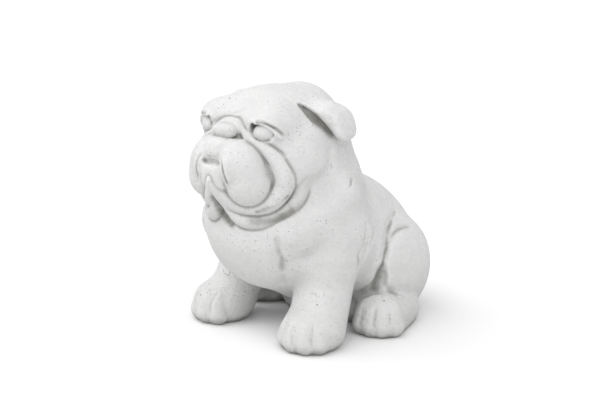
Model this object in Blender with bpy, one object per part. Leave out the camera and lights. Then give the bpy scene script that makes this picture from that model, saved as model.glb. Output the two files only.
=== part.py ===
"""A seated bulldog garden statue, cast in one solid piece of pale stone.

The dog looks along -Y with its left side at +X and sits on Z = 0. Sizes are in millimetres.
The body is one blended field of rounded masses, skin rolls and cuts, mirrored about X = 0.
"""

import math

import bpy
import numpy as np

MM = 0.001
CELL = 3.0
MOST_TRIANGLES = 9600
MIDDLE_Y = -3.72

# Toes: spread either side of the paw's heading, in degrees, and their radius.
FRONT_TOES = (-50, -17, 16, 50)
HIND_TOES = (-46, -15, 15, 46)
TOE_RADIUS = 14.5
TOE_HEIGHT = 13.0
FRONT_HEADING = 15
HIND_HEADING = 29

# Skin rolls: stations along the centre line as x, y, z and roll radius.
CHEEK_ROLL = (
    (15, -108, 251, 5),
    (20, -113, 242, 6),
    (28, -114, 234, 7.5),
    (48, -106, 221, 10),
    (62, -100, 201, 12),
    (61, -99, 184, 12),
    (48, -108, 166, 11),
    (27, -121, 161, 9.5),
    (11, -133, 171, 11),
    (-2, -146, 190, 8),
)
JOWL_ROLL = (
    (57, -85, 222, 6),
    (66, -79, 204, 10),
    (65, -78, 180, 11),
    (58, -86, 162, 11),
    (40, -107, 147, 11),
    (23, -120, 147, 10.5),
    (13, -128, 158, 9),
    (7, -140, 173, 7),
)

# Soft lines pressed into the skin: stations as x, y, z and depth.
ARMPIT = ((59, -107, 117, 1.5), (57, -101.5, 102, 3), (54, -95, 88, 4), (45, -82, 70, 3))
SHOULDER_EDGE = ((67, -92, 102, 2), (72, -84, 101, 3.5), (77, -76, 103, 4), (86, -66, 113, 3.5), (92, -55, 122, 1))
CHEEK_EDGE = ((78, -45, 227, 1), (79, -43, 218, 2), (81, -49, 197.5, 3), (80.5, -64, 190, 3), (77.5, -75, 185, 2))
FLANK_CREASE = ((74, 74, 129, 1.5), (82, 55, 123.5, 3), (87, 44, 111, 4.5), (91, 38, 95, 6), (92, 34, 85, 7))
THIGH_ARC = ((89, 81, 112, 2), (89, 64, 112, 3), (90, 51, 107, 3.5), (91, 43.5, 101, 3))
THIGH_FOOT = ((92, 31, 52, 2), (98, 39, 45, 3), (107, 45, 38.5, 3), (112, 56, 33, 2))


def turn(pitch=0.0, roll=0.0, yaw=0.0):
    """Rotation matrix from degrees about X, then Y, then Z."""
    a, b, c = (math.radians(v) for v in (pitch, roll, yaw))
    about_x = np.array([[1, 0, 0], [0, math.cos(a), -math.sin(a)], [0, math.sin(a), math.cos(a)]])
    about_y = np.array([[math.cos(b), 0, math.sin(b)], [0, 1, 0], [-math.sin(b), 0, math.cos(b)]])
    about_z = np.array([[math.cos(c), -math.sin(c), 0], [math.sin(c), math.cos(c), 0], [0, 0, 1]])
    return about_z @ about_y @ about_x


class Field:
    """Distance to the statue's skin on a grid over its left half."""

    def __init__(self, cell, low, high):
        counts = [int(math.ceil((b - a) / cell)) + 1 for a, b in zip(low, high)]
        self.cell = cell
        self.axes = [np.float32(a + cell * np.arange(n)) for a, n in zip(low, counts)]
        self.far = 40.0
        self.value = np.full(counts, self.far, np.float32)

    def window(self, low, high):
        """The part of the grid between two corners, and its coordinates."""
        spans = [
            slice(np.searchsorted(a, lo, "left"), np.searchsorted(a, hi, "right"))
            for a, lo, hi in zip(self.axes, low, high)
        ]
        x, y, z = (a[s] for a, s in zip(self.axes, spans))
        return tuple(spans), (x[:, None, None], y[None, :, None], z[None, None, :])

    def join(self, shape, blend=0.0):
        distance, low, high = shape
        spans, at = self.window(low - blend - 3 * self.cell, high + blend + 3 * self.cell)
        self.value[spans] = soft_min(self.value[spans], distance(at), blend)

    def cut(self, shape, blend=0.0):
        distance, low, high = shape
        spans, at = self.window(low - blend - 3 * self.cell, high + blend + 3 * self.cell)
        self.value[spans] = -soft_min(-self.value[spans], distance(at), blend)

    def press(self, stations, width, depth=1.0):
        """Presses a soft line into the skin along stations of x, y, z, depth. A negative depth raises it."""
        path = eased(stations, 5)
        spans, at = self.window(path[:, :3].min(0) - 3 * width, path[:, :3].max(0) + 3 * width)
        gap, strength = along(path, at)
        self.value[spans] += np.float32(depth * strength * np.exp(-((gap / width) ** 2)))


def soft_min(a, b, blend):
    if blend <= 0:
        return np.minimum(a, b)
    near = np.maximum(blend - np.abs(a - b), 0) / blend
    return np.minimum(a, b) - near * near * blend / 4


def mass(centre, radii, rotation=None, power=2.0):
    """A rounded mass: an ellipsoid, boxier as the power grows."""
    centre, radii = np.array(centre, float), np.array(radii, float)
    rotation = np.eye(3) if rotation is None else rotation

    def distance(at):
        local = [at[i] - centre[i] for i in range(3)]
        local = [sum(rotation[j, i] * local[j] for j in range(3)) for i in range(3)]
        ratio = [np.abs(local[i]) / radii[i] for i in range(3)]
        size = np.maximum((ratio[0] ** power + ratio[1] ** power + ratio[2] ** power) ** (1 / power), 1e-4)
        slope = np.sqrt(sum(((ratio[i] / size) ** (power - 1) / radii[i]) ** 2 for i in range(3)))
        return np.float32((size - 1) / np.maximum(slope, 1e-4))

    reach = np.abs(rotation) @ radii
    return distance, centre - reach, centre + reach


def eased(stations, steps):
    """A smooth path through the stations."""
    p = np.array(stations, float)
    if len(p) < 3:
        return p
    p = np.vstack([2 * p[0] - p[1], p, 2 * p[-1] - p[-2]])
    path = []
    for i in range(1, len(p) - 2):
        a, b, c, d = p[i - 1 : i + 3]
        for t in np.arange(steps) / steps:
            bend = (2 * a - 5 * b + 4 * c - d) * t * t + (3 * b - a - 3 * c + d) * t**3
            path.append((2 * b + (c - a) * t + bend) / 2)
    path.append(p[-2])
    return np.array(path)


def along(path, at):
    """Distance from a path, and the path's fourth value at the nearest place: the roll's radius."""
    best, carried = None, None
    for a, b in zip(path[:-1], path[1:]):
        run = b[:3] - a[:3]
        local = [at[i] - a[i] for i in range(3)]
        t = np.clip(sum(local[i] * run[i] for i in range(3)) / (run @ run), 0, 1)
        gap = np.sqrt(sum((local[i] - t * run[i]) ** 2 for i in range(3)))
        value = a[3] + (b[3] - a[3]) * t
        if best is None:
            best, carried = gap, value
        else:
            nearer = gap - value < best - carried
            best, carried = np.where(nearer, gap, best), np.where(nearer, value, carried)
    return best, carried


def limb(stations, steps=6):
    """A round roll of changing radius along stations of x, y, z, radius."""
    path = eased(stations, steps)

    def distance(at):
        return np.float32(np.subtract(*along(path, at)))

    widest = path[:, 3].max()
    return distance, path[:, :3].min(0) - widest, path[:, :3].max(0) + widest


def below(height):
    """Everything under a level plane."""
    return (lambda at: np.float32(at[2] - height + 0 * at[0] + 0 * at[1])), np.full(3, -300.0), np.array([300, 300, 9.0])


def paw(field, x, y, heading, spread, reach):
    """Toe bulges fanned round a paw centre."""
    for step in spread:
        angle = math.radians(heading + step)
        out = np.array([math.sin(angle), -math.cos(angle), 0])
        knuckle = np.array([x, y, TOE_HEIGHT + 19]) + out * (reach - 14)
        tip = np.array([x, y, TOE_HEIGHT]) + out * reach
        middle = (knuckle + tip) / 2 + out * 1.5 + np.array([0, 0, 2.5])
        field.join(limb([(*knuckle, TOE_RADIUS - 2), (*middle, TOE_RADIUS), (*tip, TOE_RADIUS)], 3), 1.5)


def trunk(field):
    field.join(mass((0, 28, 98), (88, 101, 80)))
    field.join(mass((0, 84, 62), (92, 62, 68)), 40)
    field.join(mass((0, 60, 18), (78, 62, 44)), 8)
    field.join(mass((0, -18, 182), (80, 62, 64)), 26)
    field.join(mass((60, -24, 120), (41, 46, 62)), 22)
    field.join(mass((0, -41, 127), (86.5, 85.5, 79)), 14)
    field.join(mass((40, 7, 170), (25, 26, 24)), 20)
    field.join(limb([(72, -26, 164, 25), (64, -50, 150, 29), (48, -76, 128, 31)]), 10)


def legs(field):
    for side in (-4.5, 4.5):
        x, y = 0.72 * side, 0.69 * side
        field.join(limb([(63 + x, -35 + y, 94, 34), (64 + x, -38 + y, 62, 29), (68 + x, -49 + y, 34, 28)]), 7)
    field.join(mass((73, -64, 19), (36.5, 35, 28)), 8)
    paw(field, 72, -68, FRONT_HEADING, FRONT_TOES, 23)
    field.join(mass((63, 74, 62), (44, 60, 63)), 6)
    field.join(limb([(90, 32, 14, 32), (84, 66, 16, 27)]), 5)
    paw(field, 94, 27, HIND_HEADING, HIND_TOES, 22)


def creases(field):
    field.press(ARMPIT, 6)
    field.press(SHOULDER_EDGE, 8)
    field.press(CHEEK_EDGE, 8)
    field.press(FLANK_CREASE, 4)
    field.press(THIGH_ARC, 3.5)
    field.cut(limb([(93, 33, 84, 2), (93, 29, 70, 6), (91, 28, 58, 8), (84, 22, 46, 8), (68, 14, 36, 6)]), 3)
    field.press(THIGH_FOOT, 4)


def head(field):
    field.join(mass((44, -54, 200), (36, 44, 46)), 16)
    field.join(mass((62, -66, 208), (19, 24, 28)), 10)
    field.join(mass((0, -34, 221), (76, 68, 60.5)), 12)
    field.join(mass((0, -8, 243), (46, 33, 39)), 8)
    field.join(mass((0, -66, 233), (67, 52, 46)), 20)
    field.join(mass((33, -88, 247), (32, 31, 24), turn(yaw=-8), 2.2), 8)
    field.join(mass((0, -84, 202), (75, 42, 48)), 14)
    field.join(mass((0, -130, 218), (22, 19, 11), None, 2.8), 3)
    field.join(limb([(0, -130, 206, 18.5), (0, -132, 196, 20), (0, -132, 186, 20)]), 2)
    field.cut(mass((0, -153, 210.5), (13.5, 8.5, 5), None, 2.6), 1.5)
    field.join(mass((0, -108, 168), (26, 20, 24)), 4)
    field.join(limb(JOWL_ROLL), 2.5)
    field.join(limb(CHEEK_ROLL), 2)
    field.join(mass((20, -131, 205), (14, 17.5, 25)), 1)
    field.join(limb([(12, -128.5, 228, 14), (23, -124.5, 207, 23), (29.5, -118, 188, 27)], 12), 5)
    field.cut(limb([(0, -159, 184, 3), (0, -152, 171, 6), (0, -141, 158, 9), (0, -131, 147, 10)]), 3)


def face(field):
    field.join(mass((0, -126, 226), (17, 14.5, 10)), 4)
    field.join(limb([(20, -119, 241, 4), (14, -121.5, 250, 4), (0, -123, 253, 4)]), 3)
    field.join(mass((0, -124.5, 242), (19.5, 9, 9), None, 2.6), 1.5)
    field.cut(mass((44, -114.5, 243), (15.5, 8.5, 9), turn(yaw=22)), 2)
    field.cut(mass((35, -112, 249), (4.5, 8.5, 5)), 2)
    field.join(mass((42, -106.5, 242.2), (12, 8.5, 9), turn(yaw=22)), 0.8)
    field.join(limb([(40, -113, 254, 1.5), (47, -112, 252, 2.3), (53.5, -109.5, 248.5, 2.4), (58.5, -106, 243, 2), (62, -103, 238, 1.2)]), 1.5)


def ears(field):
    field.join(mass((56.5, -32, 256.5), (28.5, 22, 12), turn(roll=9), 2.4), 5)
    field.join(mass((66, -35, 262.5), (11, 12, 7)), 8)
    field.join(mass((71, -20, 244), (12, 14, 18)), 8)
    field.cut(limb([(48, -61, 265, 2.5), (62, -56, 257, 6), (74, -49, 249, 8), (80, -42, 241, 7), (83, -37, 235, 4)]), 5)
    field.join(mass((83, -28, 245), (8, 16, 17), turn(roll=-20), 2.5), 5)


def mirrored(field):
    """Axes and values over both halves."""
    x = field.axes[0]
    middle = int(np.argmin(np.abs(x)))
    value = np.concatenate([field.value[:middle:-1], field.value[middle:]])
    return [np.concatenate([-x[:middle:-1], x[middle:]]), *field.axes[1:]], value


def settled(value, cell):
    """Fills grid faces and cells whose solid corners touch only across a diagonal."""
    value = value.copy()
    for _ in range(12):
        solid = value < 0
        fill = np.zeros(value.shape, bool)
        for a, b in ((0, 1), (0, 2), (1, 2)):
            near = [slice(None)] * 3
            spans = []
            for i, j in ((0, 0), (1, 0), (0, 1), (1, 1)):
                near[a] = slice(i, value.shape[a] - 1 + i)
                near[b] = slice(j, value.shape[b] - 1 + j)
                spans.append(tuple(near))
            p, q, r, s = (solid[span] for span in spans)
            crossed = (p == s) & (q == r) & (p != q)
            for span in spans:
                fill[span] |= crossed & ~solid[span]
        if not fill.any():
            break
        value[fill] = -0.2 * cell
    return value


def skin(axes, value):
    """Points and four-sided faces of the zero surface, one point for each mixed cell."""
    low = [slice(0, -1)] * 3
    inside = value < 0
    corners = [(i, j, k) for i in (0, 1) for j in (0, 1) for k in (0, 1)]

    def corner(array, offset):
        return array[tuple(slice(o, n - 1 + o) for o, n in zip(offset, array.shape))]

    count = sum(corner(inside, c).astype(np.int8) for c in corners)
    cells = np.argwhere((count > 0) & (count < 8))
    number = np.full(count.shape, -1, np.int64)
    number[tuple(cells.T)] = np.arange(len(cells))
    total, hits = np.zeros((len(cells), 3)), np.zeros(len(cells))
    for a in corners:
        for axis in range(3):
            if a[axis]:
                continue
            b = tuple(v + (n == axis) for n, v in enumerate(a))
            va, vb = (value[tuple((cells + c).T)] for c in (a, b))
            crossing = (va < 0) != (vb < 0)
            t = np.where(crossing, va / np.where(crossing, va - vb, 1), 0)
            point = np.array(a, float) + np.eye(3)[axis] * t[:, None]
            total += point * crossing[:, None]
            hits += crossing
    steps = cells + total / hits[:, None]
    points = np.stack([axes[i][0] + steps[:, i] * (axes[i][1] - axes[i][0]) for i in range(3)], 1)
    quads = []
    for axis in range(3):
        near = tuple(slice(0, -1) if n == axis else slice(1, -1) for n in range(3))
        ahead = tuple(slice(1, None) if n == axis else slice(1, -1) for n in range(3))
        start, end = inside[near], inside[ahead]
        edges = np.argwhere(start != end)
        edges += [0 if n == axis else 1 for n in range(3)]
        leaving = inside[tuple(edges.T)]
        u, v = np.eye(3, dtype=int)[(axis + 1) % 3], np.eye(3, dtype=int)[(axis + 2) % 3]
        ring = [number[tuple((edges - s).T)] for s in (u + v, v, 0 * u, u)]
        ring = np.stack(ring, 1)
        quads.append(np.where(leaving[:, None], ring, ring[:, ::-1]))
    return points, np.concatenate(quads)


def stone():
    material = bpy.data.materials.new("cast_stone")
    material.use_nodes = True
    shader = material.node_tree.nodes["Principled BSDF"]
    shader.inputs["Base Color"].default_value = (0.78, 0.78, 0.77, 1)
    shader.inputs["Roughness"].default_value = 0.9
    return material


def build():
    for old in list(bpy.data.objects):
        bpy.data.objects.remove(old, do_unlink=True)
    field = Field(CELL, (-CELL, -168, -4 * CELL), (138, 159, 300))
    for shape in (trunk, legs, head, face, ears, creases):
        shape(field)
    field.cut(below(0.0))
    axes, value = mirrored(field)
    points, quads = skin(axes, settled(value, CELL))
    points[:, 1] -= MIDDLE_Y
    points[np.abs(points[:, 2]) < 0.5, 2] = 0.0
    mesh = bpy.data.meshes.new("bulldog")
    mesh.from_pydata((points * MM).tolist(), [], quads.tolist())
    mesh.materials.append(stone())
    dog = bpy.data.objects.new("bulldog", mesh)
    bpy.context.scene.collection.objects.link(dog)
    thin = dog.modifiers.new("thin", "DECIMATE")
    thin.ratio = MOST_TRIANGLES / (2 * len(quads))
    return dog


build()
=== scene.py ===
"""A seated bulldog garden statue in pale cast stone, photographed on a white floor.

The statue is one piece, sculpted here as one blended field of rounded masses, skin rolls and creases,
mirrored about X = 0, and it stands for the bulldog node. The grooves of the front toes and one line over
the nose differ between the halves, so they are pressed in last. Sizes of the sculpture are in millimetres.
"""

import math

import bpy
import numpy as np
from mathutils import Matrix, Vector


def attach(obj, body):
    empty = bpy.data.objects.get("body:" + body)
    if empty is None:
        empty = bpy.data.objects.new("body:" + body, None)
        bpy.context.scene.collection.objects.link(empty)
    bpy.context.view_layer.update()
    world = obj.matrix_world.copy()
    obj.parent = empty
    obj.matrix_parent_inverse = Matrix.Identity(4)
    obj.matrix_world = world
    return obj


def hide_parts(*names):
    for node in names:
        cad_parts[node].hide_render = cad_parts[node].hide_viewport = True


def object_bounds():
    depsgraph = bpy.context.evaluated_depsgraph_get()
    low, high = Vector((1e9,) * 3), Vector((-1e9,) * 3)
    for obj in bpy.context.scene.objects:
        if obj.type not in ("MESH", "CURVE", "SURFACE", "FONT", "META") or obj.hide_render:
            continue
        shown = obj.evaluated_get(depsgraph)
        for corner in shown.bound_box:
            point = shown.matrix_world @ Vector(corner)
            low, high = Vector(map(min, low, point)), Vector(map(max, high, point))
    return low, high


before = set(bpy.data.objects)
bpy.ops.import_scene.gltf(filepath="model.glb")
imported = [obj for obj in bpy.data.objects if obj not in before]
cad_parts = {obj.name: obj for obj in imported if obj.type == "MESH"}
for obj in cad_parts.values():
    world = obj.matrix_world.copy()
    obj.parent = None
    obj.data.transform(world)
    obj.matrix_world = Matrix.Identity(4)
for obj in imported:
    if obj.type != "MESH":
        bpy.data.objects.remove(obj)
cad_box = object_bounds()

MM = 0.001
MOST_TRIANGLES = 196000

# The sculpture's own Y at the middle of the statue.
MIDDLE_Y = -3.72

# Points within this height of the ground are laid flat on it.
FLAT_WITHIN = 0.6

# Step of the even grid on which creases and sheltered places are found.
EVEN_STEP = 1.6

# The camera: angles round its target in degrees, its distance in metres, and its focal length in pixels.
CAMERA_AZIMUTH = 44
CAMERA_ELEVATION = 13.7
CAMERA_DISTANCE = 1.3848
CAMERA_TARGET = (0, -13.0, 145.3)
FOCAL_PIXELS = 1200
PICTURE_PIXELS = 596
SENSOR_WIDTH = 36

# The studio: lamps as azimuth, elevation and strength, the angle that they spread over, and the even light.
LAMPS = {"key": (-46, 50, 1.1), "fill": (44, 50, 1.07)}
LAMP_SPREAD = 55
EVEN_LIGHT = 0.75
FLOOR_SIDE = 12.0
FLOOR_COLOUR = (0.86, 0.86, 0.86, 1)

# Colours of the stone, its worn edges and the dirt on it, and of painted shade and light: painted shade
# under it, in creases, in sheltered places, along lines and hollows and in air holes, and painted light on
# its tops.
PASTE_GREY = (0.645, 0.648, 0.645, 1)
PASTE_PALE = (0.72, 0.723, 0.72, 1)
CHALKY_AND_TOP_LIGHT = (0.74, 0.74, 0.735, 1)
GRAIN_GREY = (0.46, 0.46, 0.45, 1)
UNDERSIDE_SHADE = (0.42, 0.42, 0.41, 1)
WORN_EDGE = (0.78, 0.78, 0.775, 1)
CREASE_SHADE_AND_DIRT = (0.24, 0.235, 0.22, 1)
SHELTERED_SHADE = (0.3, 0.295, 0.28, 1)
LINE_SHADE_AND_DIRT = (0.2, 0.195, 0.18, 1)
FOOT_TINT = (0.36, 0.36, 0.35, 1)
FOOT_RIM = (0.22, 0.215, 0.2, 1)
HOLE_SHADE_AND_DIRT = (0.16, 0.16, 0.155, 1)

# Grid of the sculpture: runs of start, end and step, finer over the face and the feet.
GRID_X = ((-1.05, 73.5, 1.05), (73.5, 138, 1.5))
GRID_Y = ((-168, -62, 1.05), (-62, -20, 1.4), (-20, 159, 1.9))
GRID_Z = ((-6, 52, 1.35), (52, 132, 1.8), (132, 292, 1.05))

# Toes: spread either side of the paw's heading, in degrees, and their radius.
FRONT_TOES = (-50, -17, 16, 50)
HIND_TOES = (-46, -15, 15, 46)
TOE_RADIUS = 14.5
TOE_HEIGHT = 13.0
FRONT_HEADING = 15
HIND_HEADING = 29

# Skin rolls: stations along the centre line as x, y, z and roll radius.
CHEEK_ROLL = (
    (-3, -115, 251.5, 4.5),
    (9, -114, 249.5, 5),
    (19.5, -114, 242, 6.5),
    (28, -114, 234, 7.5),
    (48, -106, 221, 10),
    (62, -100, 201, 12),
    (61, -99, 184, 12),
    (48, -108, 166, 11),
    (27, -121, 161, 9.5),
    (11, -133, 171, 11),
    (-2, -146, 190, 8),
)
JOWL_ROLL = (
    (57, -85, 222, 6),
    (66, -79, 204, 10),
    (65, -78, 180, 11),
    (58, -86, 162, 11),
    (40, -107, 147, 11),
    (23, -120, 147, 10.5),
    (13, -128, 158, 9),
    (7, -140, 173, 7),
)

# Soft lines pressed into the skin: stations as x, y, z and depth.
ARMPIT = ((59, -107, 117, 1.5), (57, -101.5, 102, 3), (54, -95, 88, 4), (45, -82, 70, 3))
SHOULDER_EDGE = (
    (67, -92, 102, 2),
    (72, -84, 101, 3.5),
    (77, -76, 103, 4),
    (86, -66, 113, 3.5),
    (92, -55, 122, 1),
)
CHEEK_EDGE = (
    (78, -45, 227, 1),
    (79, -43, 218, 2),
    (81, -49, 197.5, 3),
    (80.5, -64, 190, 3),
    (77.5, -75, 185, 2),
)
FLANK_CREASE = (
    (74, 74, 129, 1.5),
    (82, 55, 123.5, 3),
    (87, 44, 111, 4.5),
    (91, 38, 95, 6),
    (92, 34, 85, 7),
)
THIGH_ARC = ((89, 81, 112, 2), (89, 64, 112, 3), (90, 51, 107, 3.5), (91, 43.5, 101, 3))
THIGH_FOOT = ((92, 31, 52, 2), (98, 39, 45, 3), (107, 45, 38.5, 3), (112, 56, 33, 2))

# Rolls that are cut away or added: stations as x, y, z and radius.
FLANK_WEDGE = ((93, 33, 84, 2), (93, 29, 70, 6), (91, 28, 58, 8), (84, 22, 46, 8), (68, 14, 36, 6))
CHIN_CLEFT = ((0, -157, 175, 2.5), (0, -151, 167, 5.5), (0, -141, 157, 9), (0, -131, 147, 10))
FLEW = ((14, -127.5, 222, 13), (25, -121.5, 208, 24), (29.5, -118, 188, 27))
UPPER_LID = (
    (40, -113, 254, 1.5),
    (47, -112, 252, 2.3),
    (53.5, -109.5, 248.5, 2.4),
    (58.5, -106, 243, 2),
    (62, -103, 238, 1.2),
)
EAR_OPENING = (
    (48, -61, 265, 2.5),
    (62, -56, 257, 6),
    (74, -49, 249, 8),
    (80, -42, 241, 7),
    (83, -37, 235, 4),
)
FLAP_EDGE = (
    (53, -56, 267, 2),
    (62, -51.5, 262, 3.4),
    (70, -46, 256, 4.8),
    (77, -39, 247, 6),
    (81, -34, 239, 6),
)


def turn(pitch=0.0, roll=0.0, yaw=0.0):
    """Rotation matrix from degrees about X, then Y, then Z."""
    a, b, c = (math.radians(v) for v in (pitch, roll, yaw))
    about_x = np.array([[1, 0, 0], [0, math.cos(a), -math.sin(a)], [0, math.sin(a), math.cos(a)]])
    about_y = np.array([[math.cos(b), 0, math.sin(b)], [0, 1, 0], [-math.sin(b), 0, math.cos(b)]])
    about_z = np.array([[math.cos(c), -math.sin(c), 0], [math.sin(c), math.cos(c), 0], [0, 0, 1]])
    return about_z @ about_y @ about_x


class Field:
    """Distance to the statue's skin on a grid over its left half."""

    def __init__(self, axes, value=None):
        self.axes = axes
        self.cell = max(np.diff(a).max() for a in axes)
        self.value = np.full([len(a) for a in axes], 40.0, np.float32) if value is None else value

    def window(self, low, high):
        """The part of the grid between two corners, and its coordinates."""
        spans = [
            slice(np.searchsorted(a, lo, "left"), np.searchsorted(a, hi, "right"))
            for a, lo, hi in zip(self.axes, low, high)
        ]
        x, y, z = (a[s] for a, s in zip(self.axes, spans))
        return tuple(spans), (x[:, None, None], y[None, :, None], z[None, None, :])

    def join(self, shape, blend=0.0, groove=0.0, width=1.5):
        """Adds a shape. A groove deepens the line where its skin meets the skin already there."""
        distance, low, high = shape
        spans, at = self.window(low - blend - 3 * self.cell, high + blend + 3 * self.cell)
        old, new = self.value[spans], distance(at)
        self.value[spans] = soft_min(old, new, blend)
        strength = groove(at) if callable(groove) else groove
        self.value[spans] += np.float32(strength * np.exp(-(old**2 + new**2) / width**2))

    def cut(self, shape, blend=0.0):
        """Takes a shape away."""
        distance, low, high = shape
        spans, at = self.window(low - blend - 3 * self.cell, high + blend + 3 * self.cell)
        self.value[spans] = -soft_min(-self.value[spans], distance(at), blend)

    def as_shape(self):
        """This field's own skin, to join to another field on the same grid."""
        near = self.value < 12
        filled = [np.nonzero(near.any(tuple(k for k in range(3) if k != i)))[0] for i in range(3)]
        spans = tuple(slice(n[0], n[-1] + 1) for n in filled)
        low, high = (np.array([a[s][end] for a, s in zip(self.axes, spans)], float) for end in (0, -1))

        def distance(at):
            ends = [np.searchsorted(a, (v.min(), v.max() + 0.01)) for a, v in zip(self.axes, at)]
            return self.value[tuple(slice(*pair) for pair in ends)]

        return distance, low, high

    def press(self, stations, width):
        """Presses a soft line into the skin along stations of x, y, z and depth."""
        path = eased(stations, 5)
        spans, at = self.window(path[:, :3].min(0) - 3 * width, path[:, :3].max(0) + 3 * width)
        gap, strength = along(path, at)
        self.value[spans] += np.float32(strength * np.exp(-((gap / width) ** 2)))


def soft_min(a, b, blend):
    """The smaller value, rounded off where the two are within the blend of each other."""
    if blend <= 0:
        return np.minimum(a, b)
    near = np.maximum(blend - np.abs(a - b), 0) / blend
    return np.minimum(a, b) - near * near * blend / 4


def mass(centre, radii, rotation=None, power=2.0):
    """A rounded mass: an ellipsoid, boxier as the power grows."""
    centre, radii = np.array(centre, float), np.array(radii, float)
    rotation = np.eye(3) if rotation is None else rotation

    def distance(at):
        local = [at[i] - centre[i] for i in range(3)]
        local = [sum(rotation[j, i] * local[j] for j in range(3)) for i in range(3)]
        ratio = [np.abs(local[i]) / radii[i] for i in range(3)]
        total = ratio[0] ** power + ratio[1] ** power + ratio[2] ** power
        size = np.maximum(total ** (1 / power), 1e-4)
        slope = np.sqrt(sum(((ratio[i] / size) ** (power - 1) / radii[i]) ** 2 for i in range(3)))
        return np.float32((size - 1) / np.maximum(slope, 1e-4))

    reach = np.abs(rotation) @ radii
    return distance, centre - reach, centre + reach


def eased(stations, steps):
    """A smooth path through the stations."""
    p = np.array(stations, float)
    if len(p) < 3:
        return p
    p = np.vstack([2 * p[0] - p[1], p, 2 * p[-1] - p[-2]])
    path = []
    for i in range(1, len(p) - 2):
        a, b, c, d = p[i - 1 : i + 3]
        for t in np.arange(steps) / steps:
            bend = (2 * a - 5 * b + 4 * c - d) * t * t + (3 * b - a - 3 * c + d) * t**3
            path.append((2 * b + (c - a) * t + bend) / 2)
    path.append(p[-2])
    return np.array(path)


def along(path, at):
    """Distance from a path, and the path's fourth value at the nearest place: the roll's radius."""
    best, carried = None, None
    for a, b in zip(path[:-1], path[1:]):
        run = b[:3] - a[:3]
        local = [at[i] - a[i] for i in range(3)]
        t = np.clip(sum(local[i] * run[i] for i in range(3)) / (run @ run), 0, 1)
        gap = np.sqrt(sum((local[i] - t * run[i]) ** 2 for i in range(3)))
        value = a[3] + (b[3] - a[3]) * t
        if best is None:
            best, carried = gap, value
        else:
            nearer = gap - value < best - carried
            best, carried = np.where(nearer, gap, best), np.where(nearer, value, carried)
    return best, carried


def limb(stations, steps=6):
    """A round roll of changing radius along stations of x, y, z, radius."""
    path = eased(stations, steps)

    def distance(at):
        return np.float32(np.subtract(*along(path, at)))

    widest = path[:, 3].max()
    return distance, path[:, :3].min(0) - widest, path[:, :3].max(0) + widest


def below(height):
    """Everything under a level plane."""

    def distance(at):
        return np.float32(at[2] - height + 0 * at[0] + 0 * at[1])

    return distance, np.full(3, -300.0), np.array([300, 300, 9.0])


def paw(field, x, y, heading, spread, reach):
    """Toe bulges fanned round a paw centre."""
    for step in spread:
        angle = math.radians(heading + step)
        out = np.array([math.sin(angle), -math.cos(angle), 0])
        knuckle = np.array([x, y, TOE_HEIGHT + 19]) + out * (reach - 14)
        tip = np.array([x, y, TOE_HEIGHT]) + out * reach
        middle = (knuckle + tip) / 2 + out * 1.5 + np.array([0, 0, 2.5])
        field.join(limb([(*knuckle, TOE_RADIUS - 2), (*middle, TOE_RADIUS), (*tip, TOE_RADIUS)], 3), 1.5)


def trunk(field):
    """Barrel, rump, seat, neck, shoulder, chest, nape and the slope from shoulder to chest."""
    field.join(mass((0, 28, 98), (88, 101, 80)))
    field.join(mass((0, 84, 62), (92, 62, 68)), 40)
    field.join(mass((0, 60, 18), (78, 62, 44)), 8)
    field.join(mass((0, -18, 182), (80, 62, 64)), 26)
    field.join(mass((60, -24, 120), (41, 46, 62)), 22)
    field.join(mass((0, -41, 127), (86.5, 85.5, 79)), 14)
    field.join(mass((40, 7, 170), (25, 26, 24)), 20)
    field.join(limb([(72, -26, 164, 25), (64, -50, 150, 29), (48, -76, 128, 31)]), 10)


def legs(field):
    """A front leg made broad by two rolls side by side, its paw, then the thigh, hind foot and toes."""
    for side in (-4.5, 4.5):
        x, y = 0.72 * side, 0.69 * side
        leg = [(63 + x, -35 + y, 94, 34), (64 + x, -38 + y, 62, 29), (68 + x, -49 + y, 34, 28)]
        field.join(limb(leg), 7)
    field.join(mass((73, -64, 19), (36.5, 35, 28)), 8)
    paw(field, 72, -68, FRONT_HEADING, FRONT_TOES, 23)
    field.join(mass((63, 74, 62), (44, 60, 63)), 6)
    field.join(limb([(90, 32, 14, 32), (84, 66, 16, 27)]), 5)
    paw(field, 94, 27, HIND_HEADING, HIND_TOES, 22)


def creases(field):
    """The deep creases of the body, and the wedge between flank and thigh."""
    field.press(ARMPIT, 6)
    field.press(SHOULDER_EDGE, 8)
    field.press(CHEEK_EDGE, 8)
    field.press(FLANK_CREASE, 4)
    field.press(THIGH_ARC, 3.5)
    field.cut(limb(FLANK_WEDGE), 3)
    field.press(THIGH_FOOT, 4)


def at_jowl(at):
    """Depth of the groove round a flew: only along the jowl roll."""
    return 2.2 * np.clip(np.maximum(at[0] - 27, 0) / 7 + np.maximum(196 - at[2], 0) / 8, 0, 1)


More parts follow.
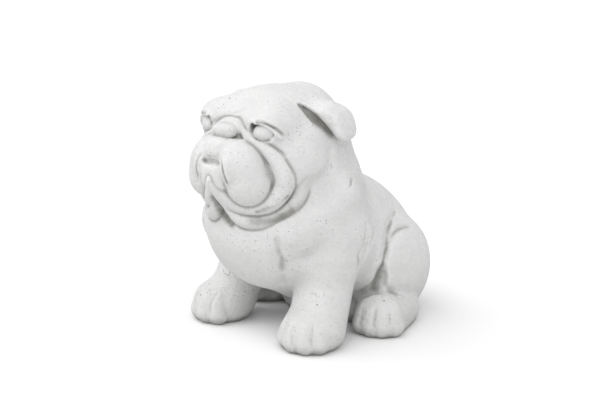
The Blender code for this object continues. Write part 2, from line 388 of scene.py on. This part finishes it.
def head(field):
    """Neck and cheeks, skull, brow, lip, chin and throat, then the rolls, flews, mouth and cleft."""
    field.join(mass((44, -54, 200), (36, 44, 46)), 16)
    field.join(mass((62, -66, 208), (19, 24, 28)), 10)
    field.join(mass((0, -34, 221), (76, 68, 60.5)), 12)
    field.join(mass((0, -8, 243), (46, 33, 39)), 8)
    field.join(mass((0, -66, 233), (67, 52, 46)), 20)
    field.join(mass((33, -88, 247), (32, 31, 24), turn(yaw=-8), 2.2), 8)
    field.join(mass((0, -84, 202), (75, 42, 48)), 14)
    field.join(mass((0, -128, 221), (18.5, 18.5, 14), turn(pitch=-20), 2.5), 6)
    field.join(mass((0, -131, 194), (21, 19.5, 22), None, 2.6), 3)
    field.join(mass((0, -108, 168), (26, 20, 24)), 4)
    field.join(limb(JOWL_ROLL), 2, 2, 1.8)
    field.join(limb(CHEEK_ROLL), 1.5, 2, 1.6)
    flew = Field(field.axes)
    flew.join(limb(FLEW, 40))
    flew.join(mass((20, -132, 206), (13, 17, 22)), 6)
    field.join(flew.as_shape(), 4, at_jowl, 1.4)
    field.cut(mass((0, -151.5, 210.5), (15, 9.5, 4), None, 2.6), 1.2)
    field.cut(limb(CHIN_CLEFT), 3)


def face(field):
    """The nose, the eye's hollow and inner corner, the ball and its upper lid."""
    field.join(mass((0, -116.5, 243), (18, 10, 10)), 5)
    field.join(mass((0, -126, 241.5), (16.3, 9, 8.5), None, 2.5), 1.5, 0.6, 1.3)
    field.cut(mass((44, -114.5, 243), (15.5, 8.5, 9), turn(yaw=22)), 2)
    field.cut(mass((34.5, -111, 249), (4.5, 9.5, 5)), 2)
    field.join(mass((42.5, -108, 242), (12.5, 8.5, 10), turn(yaw=22)), 0.6)
    field.join(limb(UPPER_LID), 3)


def ears(field):
    """The ear's root, its opening, the hanging flap and the flap's front edge."""
    field.join(mass((56.5, -32, 256.5), (28.5, 22, 12), turn(roll=9), 2.4), 5)
    field.join(mass((66, -35, 262.5), (11, 12, 7)), 8)
    field.join(mass((71, -20, 244), (12, 14, 18)), 8)
    field.cut(limb(EAR_OPENING), 5)
    field.join(mass((83, -28, 245), (8, 16, 17), turn(roll=-20), 2.5), 5)
    field.join(limb(FLAP_EDGE), 4)


def mirrored(field):
    """Axes and values over both halves."""
    x = field.axes[0]
    middle = int(np.argmin(np.abs(x)))
    value = np.concatenate([field.value[:middle:-1], field.value[middle:]])
    return [np.concatenate([-x[:middle:-1], x[middle:]]), *field.axes[1:]], value


def settled(value, cell):
    """Fills grid faces and cells whose solid corners touch only across a diagonal."""
    value = value.copy()
    for _ in range(12):
        solid = value < 0
        fill = np.zeros(value.shape, bool)
        for a, b in ((0, 1), (0, 2), (1, 2)):
            near = [slice(None)] * 3
            spans = []
            for i, j in ((0, 0), (1, 0), (0, 1), (1, 1)):
                near[a] = slice(i, value.shape[a] - 1 + i)
                near[b] = slice(j, value.shape[b] - 1 + j)
                spans.append(tuple(near))
            p, q, r, s = (solid[span] for span in spans)
            crossed = (p == s) & (q == r) & (p != q)
            for span in spans:
                fill[span] |= crossed & ~solid[span]
        if not fill.any():
            break
        value[fill] = -0.2 * cell
    return value


def skin(axes, value):
    """Points and four-sided faces of the zero surface, one point for each mixed cell."""
    inside = value < 0
    corners = [(i, j, k) for i in (0, 1) for j in (0, 1) for k in (0, 1)]

    def corner(array, offset):
        return array[tuple(slice(o, n - 1 + o) for o, n in zip(offset, array.shape))]

    count = sum(corner(inside, c).astype(np.int8) for c in corners)
    cells = np.argwhere((count > 0) & (count < 8))
    number = np.full(count.shape, -1, np.int64)
    number[tuple(cells.T)] = np.arange(len(cells))
    total, hits = np.zeros((len(cells), 3)), np.zeros(len(cells))
    for a in corners:
        for axis in range(3):
            if a[axis]:
                continue
            b = tuple(v + (n == axis) for n, v in enumerate(a))
            va, vb = (value[tuple((cells + c).T)] for c in (a, b))
            crossing = (va < 0) != (vb < 0)
            t = np.where(crossing, va / np.where(crossing, va - vb, 1), 0)
            point = np.array(a, float) + np.eye(3)[axis] * t[:, None]
            total += point * crossing[:, None]
            hits += crossing
    steps = cells + total / hits[:, None]
    points = np.stack([np.interp(steps[:, i], np.arange(len(axes[i])), axes[i]) for i in range(3)], 1)
    quads = []
    for axis in range(3):
        near = tuple(slice(0, -1) if n == axis else slice(1, -1) for n in range(3))
        ahead = tuple(slice(1, None) if n == axis else slice(1, -1) for n in range(3))
        start, end = inside[near], inside[ahead]
        edges = np.argwhere(start != end)
        edges += [0 if n == axis else 1 for n in range(3)]
        leaving = inside[tuple(edges.T)]
        u, v = np.eye(3, dtype=int)[(axis + 1) % 3], np.eye(3, dtype=int)[(axis + 2) % 3]
        ring = [number[tuple((edges - s).T)] for s in (u + v, v, 0 * u, u)]
        ring = np.stack(ring, 1)
        quads.append(np.where(leaving[:, None], ring, ring[:, ::-1]))
    return points, np.concatenate(quads)


def spaced(runs):
    """Grid positions along runs of start, end and step."""
    line = []
    for start, end, step in runs:
        line += list(start + step * np.arange(int(round((end - start) / step))))
    line.append(runs[-1][0] + step * int(round((end - runs[-1][0]) / step)))
    return np.float32(line)


# Fine carved lines, the same on both sides: stations as x, y, z and depth.
FLEW_LINE = (
    (13, -147, 222, 0.4),
    (16, -148, 217, 1.8),
    (18.5, -149, 212, 2.7),
    (20.5, -149.2, 206, 2.7),
    (22, -148.5, 199, 2.7),
    (23, -145, 191, 2),
    (27, -143, 184, 1),
)
BROW_LINE = (
    (39, -117, 255.5, 0.6),
    (49, -113, 253.5, 2),
    (58, -107, 248, 2.4),
    (64, -99, 240, 2.2),
    (67, -91, 232, 0.6),
)
UNDER_EYE = ((51.4, -108.3, 230.6, 0.8), (58.1, -103.1, 224.9, 1.9), (66.1, -99.3, 220.1, 0.8))
CHEEK_LINE = ((66.4, -100.3, 214.9, 0.7), (70.7, -98, 207.7, 1.7), (73, -95.8, 201.2, 0.6))
NECK_LINE = ((78.8, -4, 192, 0.8), (85.5, -15.8, 185, 2.4), (93.5, -30, 176.4, 0.8))
FLANK_LINES = (
    ((95.7, -3, 133.5, 0.8), (98.2, -6.6, 120, 2.6), (99.2, -12, 109.5, 1.2)),
    ((99.3, -14, 107, 0.8), (100, -20.3, 100, 2.8), (97, -16.4, 86, 1.2)),
    ((87.7, 21, 120, 0.6), (92.3, 11, 109, 2), (93.7, 6, 103.6, 0.8)),
)
FOREHEAD_LINES = (
    ((32, -73, 275, 0.3), (42.6, -69.5, 271.7, 0.9), (52, -68, 266, 0.4)),
    ((46, -87, 270, 0.3), (53, -84, 266.5, 0.9), (60, -82, 260, 0.4)),
)
FLANK_LINE = (
    (72.7, 75.1, 128.3, 0.5),
    (84.6, 48.5, 112.4, 1.6),
    (88.9, 39.7, 92, 2.2),
    (87, 32, 67.8, 2.6),
    (81.5, 30.1, 47, 1),
)
THIGH_LINE = (
    (88.2, 86.7, 111.7, 0.4),
    (86.7, 67.6, 112.6, 1.3),
    (87.5, 52.3, 107.4, 1.6),
    (88.6, 44.7, 99.2, 0.8),
)
CHEST_LINE = ((58.7, -107.4, 127.6, 0.4), (58.2, -100.9, 109.4, 1.8), (51.9, -91.6, 89.1, 1.8))
SHOULDER_LINE = ((70.2, -97.8, 120.1, 0.5), (73.9, -78.4, 107.8, 1.2), (83.4, -64.7, 95.6, 0.8))
HIND_GROOVES = (
    ((89.6, 1.1, 35.3, 0.4), (90.5, -3, 29, 1.4), (91.1, -5.6, 22.6, 1.4), (91, -7, 14, 0.8)),
    ((105.4, 5.8, 36.7, 0.5), (107.5, 1, 29, 2), (108.9, -3.1, 20, 2), (108.5, -4, 10, 1)),
    ((119.1, 13.5, 31.7, 0.5), (120.5, 11, 27, 1.5), (121, 8, 15, 1.1)),
)

# Lines that differ between the halves: the grooves of the front toes, and one line over the nose.
LEFT_PAW_GROOVES = (
    ((74, -97.5, 35, 0.4), (74.8, -99.6, 29, 1.3), (76.9, -101.8, 22.1, 1.5), (78, -103, 12, 1.2)),
    ((92, -85, 37, 0.4), (93.9, -87.2, 32.8, 1.3), (96.5, -91, 24, 1.6), (97.3, -92.8, 14.6, 1.2)),
)
RIGHT_PAW_GROOVES = (
    (
        (-82.5, -91, 37, 0.8),
        (-87.1, -97, 27.5, 2.2),
        (-83.8, -101.8, 16.3, 2.2),
        (-81.8, -102.2, 12.3, 1.4),
    ),
    (
        (-56.7, -87.5, 37.6, 0.8),
        (-57.7, -94, 32.4, 2.2),
        (-58.9, -98.3, 24.6, 2.4),
        (-57.1, -101.2, 13.5, 1.4),
    ),
)
NOSE_LINE = (
    (-29, -118, 246, 0.8),
    (-12.5, -114, 254.3, 1.2),
    (0, -109.5, 259, 1.4),
    (11, -105, 264.7, 0.5),
)

# Painted shade and dirt along creases and in hollows, such as the eye's inner corner, the ear's opening and
# the mouth: amount on the left, amount on the right, reach, then its path.
SHADE_AND_DIRT_LINES = (
    (0.95, 0, 5, (
        (-1.5, -142.5, 170.8), (-5.4, -132, 159.4), (-8.7, -123.3, 149.4),
        (0, -122.5, 141.7), (9, -125, 139.4),
    )),
    (0.5, 0.5, 1.3, (
        (0, -132, 250), (10, -132, 248.5), (16, -130, 242),
        (13.5, -134, 235), (7, -137, 232.5), (0, -138, 234),
    )),
    (0.85, 0.85, 1.3, ((7.5, -137, 240.5), (7.2, -135, 238))),
    (1.0, 1.0, 6.5, ((52, -60, 262), (62, -54, 255), (69.4, -44, 244), (76, -39, 238))),
    (0.95, 0.95, 4.2, ((30, -115, 250), (31, -114, 245))),
    (0.75, 0.6, 2.0, (
        (33, -113, 251), (41, -117, 254), (50, -112, 252.5),
        (58, -106.5, 248), (64, -99, 240),
    )),
    (0.8, 0.7, 1.8, ((33, -113, 241), (38, -115, 236), (45, -114, 234), (52, -110, 236))),
    (0.5, 0.4, 2.2, (
        (36, -117, 226), (45.7, -114.4, 217.7),
        (56.1, -112.3, 208.4), (58, -110, 198),
    )),
    (1.0, 0.8, 1.9, (
        (16, -148, 217), (18.5, -149, 212), (20.5, -149, 206),
        (22, -148, 199), (23, -145, 191),
    )),
    (0.55, 0.95, 3.4, ((3, -145, 210), (11, -145, 210))),
    (0.75, 0.5, 3.0, ((43.4, -120.7, 158.4), (56, -111, 166), (69.7, -100.4, 176.8))),
    (0.8, 0.6, 5.5, ((34, -120, 146), (52, -106, 148), (58.1, -100.9, 150.8), (66, -91, 158))),
    (0.5, 0.5, 4.5, ((66, -91, 158), (72, -81.4, 167.3))),
    (0.4, 0.4, 6, ((20, -124, 148), (34, -120, 146))),
    (0.4, 0.4, 6, (
        (58.7, -107.4, 127.6), (58.2, -100.9, 109.4),
        (51.9, -91.6, 89.1), (42.6, -79.1, 70.6),
    )),
    (0.22, 0.22, 8, ((70.2, -97.8, 120.1), (73.9, -78.4, 107.8), (83.4, -64.7, 95.6))),
    (0.6, 0.6, 3.2, ((80, 58, 120), (84.6, 48.5, 112.4), (88.9, 39.7, 92), (87, 32, 67.8))),
    (0.9, 0.9, 7, ((87, 31, 68), (82, 29, 48))),
    (0.5, 0.5, 3, ((81, 29, 43.5), (98.1, 41.5, 42), (105.9, 53.8, 36))),
    (0.4, 0.4, 9, ((68, 20, 36), (77, 18, 52))),
    (0.3, 0.3, 2.5, ((86.7, 67.6, 112.6), (87.5, 52.3, 107.4))),
    (0.4, 0.4, 1.6, ((51.4, -108.3, 230.6), (58.1, -103.1, 224.9), (66.1, -99.3, 220.1))),
    (0.3, 0.3, 1.6, ((66.4, -100.3, 214.9), (70.7, -98, 207.7), (73, -95.8, 201.2))),
    (0.35, 0.35, 2.2, (
        (95.7, -3, 133.5), (98.2, -6.6, 120), (99.2, -12, 109.5),
        (100, -20.3, 100), (97, -16.4, 86),
    )),
    (0.35, 0.35, 2.5, ((72.8, -69, 62), (84, -62, 59), (92, -54.7, 56.6))),
)


def fine(field):
    """Shallow lines, the grooves of the hind toes and the nostrils, the same on both sides."""
    field.press(FLEW_LINE, 1.4)
    field.press(BROW_LINE, 1.8)
    field.press(UNDER_EYE, 1.5)
    field.press(CHEEK_LINE, 1.5)
    field.press(NECK_LINE, 1.8)
    for line in FLANK_LINES:
        field.press(line, 2.0)
    for line in FOREHEAD_LINES:
        field.press(line, 2.4)
    field.press(FLANK_LINE, 2.4)
    field.press(THIGH_LINE, 2.2)
    field.press(CHEST_LINE, 4)
    field.press(SHOULDER_LINE, 7)
    for line in HIND_GROOVES:
        field.press(line, 1.6)
    field.cut(limb([(7.5, -138, 240.5, 1.2), (7.2, -134, 238, 1.4)]), 0.6)


SHAPES = (trunk, legs, head, face, ears, creases, fine)


def wear(field):
    """The lines that differ between the halves."""
    field.press(NOSE_LINE, 1.6)
    for line in LEFT_PAW_GROOVES + RIGHT_PAW_GROOVES:
        field.press(line, 1.5)


def blurred(grid, reach):
    """Box mean over a number of grid steps each way, along every axis."""
    for axis in range(3):
        edge = [(0, 0)] * 3
        edge[axis] = (reach + 1, reach)
        total = np.cumsum(np.pad(grid, edge, mode="edge"), axis, dtype=np.float64)
        low, high = [slice(None)] * 3, [slice(None)] * 3
        low[axis], high[axis] = slice(0, grid.shape[axis]), slice(2 * reach + 1, None)
        grid = np.float32((total[tuple(high)] - total[tuple(low)]) / (2 * reach + 1))
    return grid


def even(line, axes, value):
    """The values again on an even grid."""
    for axis in range(3):
        at = np.interp(line[axis], axes[axis], np.arange(len(axes[axis])))
        low = np.minimum(at.astype(int), len(axes[axis]) - 2)
        shape = [1, 1, 1]
        shape[axis] = -1
        part = np.float32(at - low).reshape(shape)
        value = np.take(value, low, axis) * (1 - part) + np.take(value, low + 1, axis) * part
    return value


def sampled(grid, start, step, points):
    """The grid's value at each point, between its eight nearest samples."""
    at = np.clip((points - start) / step, 0, np.array(grid.shape) - 1.001)
    cell = at.astype(int)
    part = at - cell
    total = 0
    for i in (0, 1):
        for j in (0, 1):
            for k in (0, 1):
                weight = np.abs([1 - i, 1 - j, 1 - k] - part).prod(1)
                total = total + weight * grid[cell[:, 0] + i, cell[:, 1] + j, cell[:, 2] + k]
    return total


def enclosed(axes, value, points):
    """How deep each point lies in a crease, in millimetres, and how much of its surroundings is filled."""
    step = EVEN_STEP
    start = np.array([a[0] for a in axes], float)
    line = [np.arange(a[0], a[-1], step) for a in axes]
    depth = even(line, axes, np.clip(value, -5, 5))
    solid = np.float32(depth < 0)
    solid[:, :, line[2] < 0] = 1
    crease = -sampled(blurred(blurred(depth, 1), 1), start, step, points)
    shelter = sampled(blurred(blurred(solid, 5), 5), start, step, points)
    return crease, shelter


def darkened_along_lines(points):
    """How strongly painted shade and dirt lie at each point, from SHADE_AND_DIRT_LINES and their mirror
    images.
    """
    total = np.zeros(len(points))
    for left, right, reach, path in SHADE_AND_DIRT_LINES:
        for amount, side in ((left, 1), (right, -1)):
            here = points * (side, 1, 1)
            for a, b in zip(path, path[1:]):
                a, b = np.array(a, float), np.array(b, float)
                run = b - a
                t = np.clip((here - a) @ run / (run @ run), 0, 1)
                gap = ((here - a - t[:, None] * run) ** 2).sum(1)
                total = np.maximum(total, amount * np.exp(-gap / reach ** 2))
    return total


def sculpt():
    """The statue's mesh, with how creased and sheltered each of its points is, and how much painted shade
    and dirt lies on it.
    """
    field = Field([spaced(GRID_X), spaced(GRID_Y), spaced(GRID_Z)])
    for shape in SHAPES:
        shape(field)
    axes, value = mirrored(field)
    whole = Field(axes, value)
    wear(whole)
    whole.cut(below(0.0))
    value = settled(whole.value, 1.0)
    points, quads = skin(axes, value)
    near, wide = enclosed(axes, value, points)
    shade_and_dirt_mask = darkened_along_lines(points)
    points[:, 1] -= MIDDLE_Y
    points[np.abs(points[:, 2]) < FLAT_WITHIN, 2] = 0.0
    points = np.clip(points, *(np.array(cad_box) / MM))
    mesh = bpy.data.meshes.new("statue")
    mesh.from_pydata((points * MM).tolist(), [], quads.tolist())
    for name, mask in (("crease", near), ("shelter", wide), ("painted_shade_and_dirt", shade_and_dirt_mask)):
        mesh.attributes.new(name, "FLOAT", "POINT").data.foreach_set("value", np.float32(mask))
    mesh.shade_smooth()
    statue = bpy.data.objects.new("statue", mesh)
    bpy.context.scene.collection.objects.link(statue)
    thin = statue.modifiers.new("thin", "DECIMATE")
    thin.ratio = min(1.0, MOST_TRIANGLES / (2 * len(quads)))
    evaluated = statue.evaluated_get(bpy.context.evaluated_depsgraph_get())
    applied = bpy.data.meshes.new_from_object(evaluated)
    statue.modifiers.clear()
    statue.data = applied
    applied.name = "statue"
    return statue


class Nodes:
    """Short calls for building a node tree."""

    def __init__(self, material):
        material.use_nodes = True
        self.tree = material.node_tree
        self.shader = self.tree.nodes["Principled BSDF"]

    def add(self, kind, inputs=None, **settings):
        node = self.tree.nodes.new(kind)
        for name, value in settings.items():
            setattr(node, name, value)
        for name, value in (inputs or {}).items():
            if isinstance(value, bpy.types.NodeSocket):
                self.tree.links.new(value, node.inputs[name])
            else:
                node.inputs[name].default_value = value
        return node

    def link(self, source, target):
        self.tree.links.new(source, target)


def stone():
    """Mottled pale cast stone with fine grain, air holes, worn edges and settled dirt, and painted shade on
    its undersides, in its creases, sheltered places, lines and air holes, with painted light on its tops.
    """
    material = bpy.data.materials.new("cast_stone")
    nodes = Nodes(material)
    place = nodes.add("ShaderNodeTexCoord").outputs["Object"]

    def noise(scale, detail=4.0, roughness=0.6):
        inputs = {"Vector": place, "Scale": scale, "Detail": detail, "Roughness": roughness}
        return nodes.add("ShaderNodeTexNoise", inputs).outputs["Fac"]

    def ranged(value, low, high, start=0.0, end=1.0):
        inputs = {"Value": value, "From Min": low, "From Max": high, "To Min": start, "To Max": end}
        return nodes.add("ShaderNodeMapRange", inputs, interpolation_type="SMOOTHSTEP").outputs["Result"]

    def math_of(operation, a, b):
        node = nodes.add("ShaderNodeMath", operation=operation)
        for socket, value in zip(node.inputs, (a, b)):
            if isinstance(value, bpy.types.NodeSocket):
                nodes.link(value, socket)
            else:
                socket.default_value = value
        return node.outputs["Value"]

    def mixed(factor, a, b):
        node = nodes.add("ShaderNodeMix", data_type="RGBA")
        for socket, value in zip((node.inputs[0], node.inputs[6], node.inputs[7]), (factor, a, b)):
            if isinstance(value, bpy.types.NodeSocket):
                nodes.link(value, socket)
            else:
                socket.default_value = value
        return node.outputs[2]

    crease = nodes.add("ShaderNodeAttribute", attribute_name="crease").outputs["Fac"]
    shelter = nodes.add("ShaderNodeAttribute", attribute_name="shelter").outputs["Fac"]
    clouds = noise(22.0, 5.0)
    patches = noise(75.0, 4.0)
    specks = noise(260.0, 3.0, 0.7)
    grain = noise(900.0, 2.0, 0.6)
    body = mixed(ranged(clouds, 0.3, 0.7), PASTE_GREY, PASTE_PALE)
    body = mixed(ranged(patches, 0.35, 0.75, 0.0, 0.35), body, CHALKY_AND_TOP_LIGHT)
    body = mixed(ranged(specks, 0.5, 0.8, 0.0, 0.4), body, GRAIN_GREY)
    body = mixed(ranged(grain, 0.35, 0.7, 0.0, 0.28), body, GRAIN_GREY)
    uneven = math_of("MULTIPLY", math_of("SUBTRACT", patches, 0.5), 0.12)
    normal = nodes.add("ShaderNodeNewGeometry").outputs["Normal"]
    upward = nodes.add("ShaderNodeSeparateXYZ", {"Vector": normal}).outputs["Z"]
    # Painted shade on faces turned down, and painted light on faces turned up.
    body = mixed(ranged(upward, -0.9, 0.6, 0.3, 0.0), body, UNDERSIDE_SHADE)
    body = mixed(ranged(upward, 0.3, 1.0, 0.0, 0.15), body, CHALKY_AND_TOP_LIGHT)
    # Painted shade and dirt: darker the deeper a point lies in a crease.
    line = ranged(math_of("ADD", crease, math_of("MULTIPLY", uneven, 4.0)), 0.15, 1.1, 0.0, 0.6)
    body = mixed(line, body, CREASE_SHADE_AND_DIRT)
    # Painted shade: darker where the surroundings are mostly filled, as under the belly and between the
    # legs.
    sheltered_darkening = ranged(math_of("ADD", shelter, uneven), 0.57, 0.84, 0.0, 0.72)
    body = mixed(sheltered_darkening, body, SHELTERED_SHADE)
    worn = ranged(crease, -0.35, -0.12, 0.35, 0.0)
    body = mixed(worn, body, WORN_EDGE)
    # Painted shade and dirt along creases and in hollows, made uneven by patches.
    painted_shade_and_dirt = nodes.add("ShaderNodeAttribute", attribute_name="painted_shade_and_dirt").outputs["Fac"]
    line_darkening = math_of("ADD", painted_shade_and_dirt, math_of("MULTIPLY", math_of("SUBTRACT", patches, 0.5), 1.1))
    body = mixed(ranged(line_darkening, 0.12, 1.0, 0.0, 0.85), body, LINE_SHADE_AND_DIRT)
    # Darker towards the ground, and darkest within about a centimetre of it.
    rim = nodes.add("ShaderNodeSeparateXYZ", {"Vector": place}).outputs["Z"]
    rim = math_of("ADD", rim, math_of("MULTIPLY", math_of("SUBTRACT", patches, 0.5), 0.02))
    body = mixed(ranged(rim, 0.01, 0.075, 0.22, 0.0), body, FOOT_TINT)
    body = mixed(ranged(rim, 0.0, 0.011, 0.6, 0.0), body, FOOT_RIM)

    def holes(scale, least, widest):
        """Air holes scattered in cells, closer together in some patches than in others."""
        cells = nodes.add("ShaderNodeTexVoronoi", {"Vector": place, "Scale": scale, "Randomness": 1.0})
        picked = nodes.add("ShaderNodeSeparateColor", {"Color": cells.outputs["Color"]}).outputs["Red"]
        chance = math_of("ADD", picked, math_of("MULTIPLY", math_of("SUBTRACT", clouds, 0.5), 1.6))
        size = ranged(chance, least, 1.05, 0.0, widest)
        return ranged(math_of("SUBTRACT", size, cells.outputs["Distance"]), 0.0, 0.05)

    hole = math_of("MAXIMUM", holes(130.0, 0.92, 0.14), holes(420.0, 0.8, 0.26))
    # Painted shade and dirt inside the air holes.
    body = mixed(math_of("MULTIPLY", hole, 0.8), body, HOLE_SHADE_AND_DIRT)
    nodes.link(body, nodes.shader.inputs["Base Color"])

    height = math_of("ADD", math_of("MULTIPLY", grain, 0.5), math_of("MULTIPLY", specks, 0.9))
    height = math_of("ADD", height, math_of("MULTIPLY", patches, 1.6))
    height = math_of("SUBTRACT", height, math_of("MULTIPLY", hole, 1.5))
    bump = nodes.add("ShaderNodeBump", {"Strength": 0.8, "Distance": 0.0013, "Height": height})
    nodes.link(bump.outputs["Normal"], nodes.shader.inputs["Normal"])
    nodes.shader.inputs["Roughness"].default_value = 0.92
    nodes.shader.inputs["Specular IOR Level"].default_value = 0.25
    return material


def floor():
    mesh = bpy.data.meshes.new("floor")
    side = FLOOR_SIDE
    corners = [(-side, -side, 0), (side, -side, 0), (side, side, 0), (-side, side, 0)]
    mesh.from_pydata(corners, [], [(0, 1, 2, 3)])
    plane = bpy.data.objects.new("floor", mesh)
    bpy.context.scene.collection.objects.link(plane)
    material = bpy.data.materials.new("white_floor")
    nodes = Nodes(material)
    nodes.shader.inputs["Base Color"].default_value = FLOOR_COLOUR
    nodes.shader.inputs["Roughness"].default_value = 0.9
    mesh.materials.append(material)


def direction(azimuth, elevation):
    """Unit vector from the statue at angles in degrees, turned from straight ahead of it."""
    turned, rise = math.radians(azimuth), math.radians(elevation)
    return Vector((math.sin(turned) * math.cos(rise), -math.cos(turned) * math.cos(rise), math.sin(rise)))


def lamp(name, azimuth, elevation, strength):
    """A very soft lamp from far away, at angles round the statue in degrees."""
    light = bpy.data.lights.new(name, "SUN")
    light.energy = strength
    light.angle = math.radians(LAMP_SPREAD)
    item = bpy.data.objects.new(name, light)
    item.rotation_euler = (-direction(azimuth, elevation)).to_track_quat("-Z", "Y").to_euler()
    bpy.context.scene.collection.objects.link(item)


def studio():
    world = bpy.data.worlds.new("studio")
    bpy.context.scene.world = world
    world.use_nodes = True
    world.node_tree.nodes["Background"].inputs["Color"].default_value = (1, 1, 1, 1)
    world.node_tree.nodes["Background"].inputs["Strength"].default_value = EVEN_LIGHT
    for name, (azimuth, elevation, strength) in LAMPS.items():
        lamp(name, azimuth, elevation, strength)
    bpy.context.scene.view_settings.view_transform = "Standard"
    bpy.context.scene.view_settings.look = "None"


def camera():
    x, y, z = CAMERA_TARGET
    target = Vector((x, y - MIDDLE_Y, z)) * MM
    back = direction(CAMERA_AZIMUTH, CAMERA_ELEVATION)
    data = bpy.data.cameras.new("camera")
    data.sensor_width = SENSOR_WIDTH
    data.lens = FOCAL_PIXELS * SENSOR_WIDTH / PICTURE_PIXELS
    item = bpy.data.objects.new("camera", data)
    item.location = target + back * CAMERA_DISTANCE
    item.rotation_euler = (-back).to_track_quat("-Z", "Y").to_euler()
    bpy.context.scene.collection.objects.link(item)
    bpy.context.scene.camera = item


camera()
statue = sculpt()
statue.data.materials.clear()
statue.data.materials.append(stone())
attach(statue, "root")
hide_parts("bulldog")
floor()
studio()
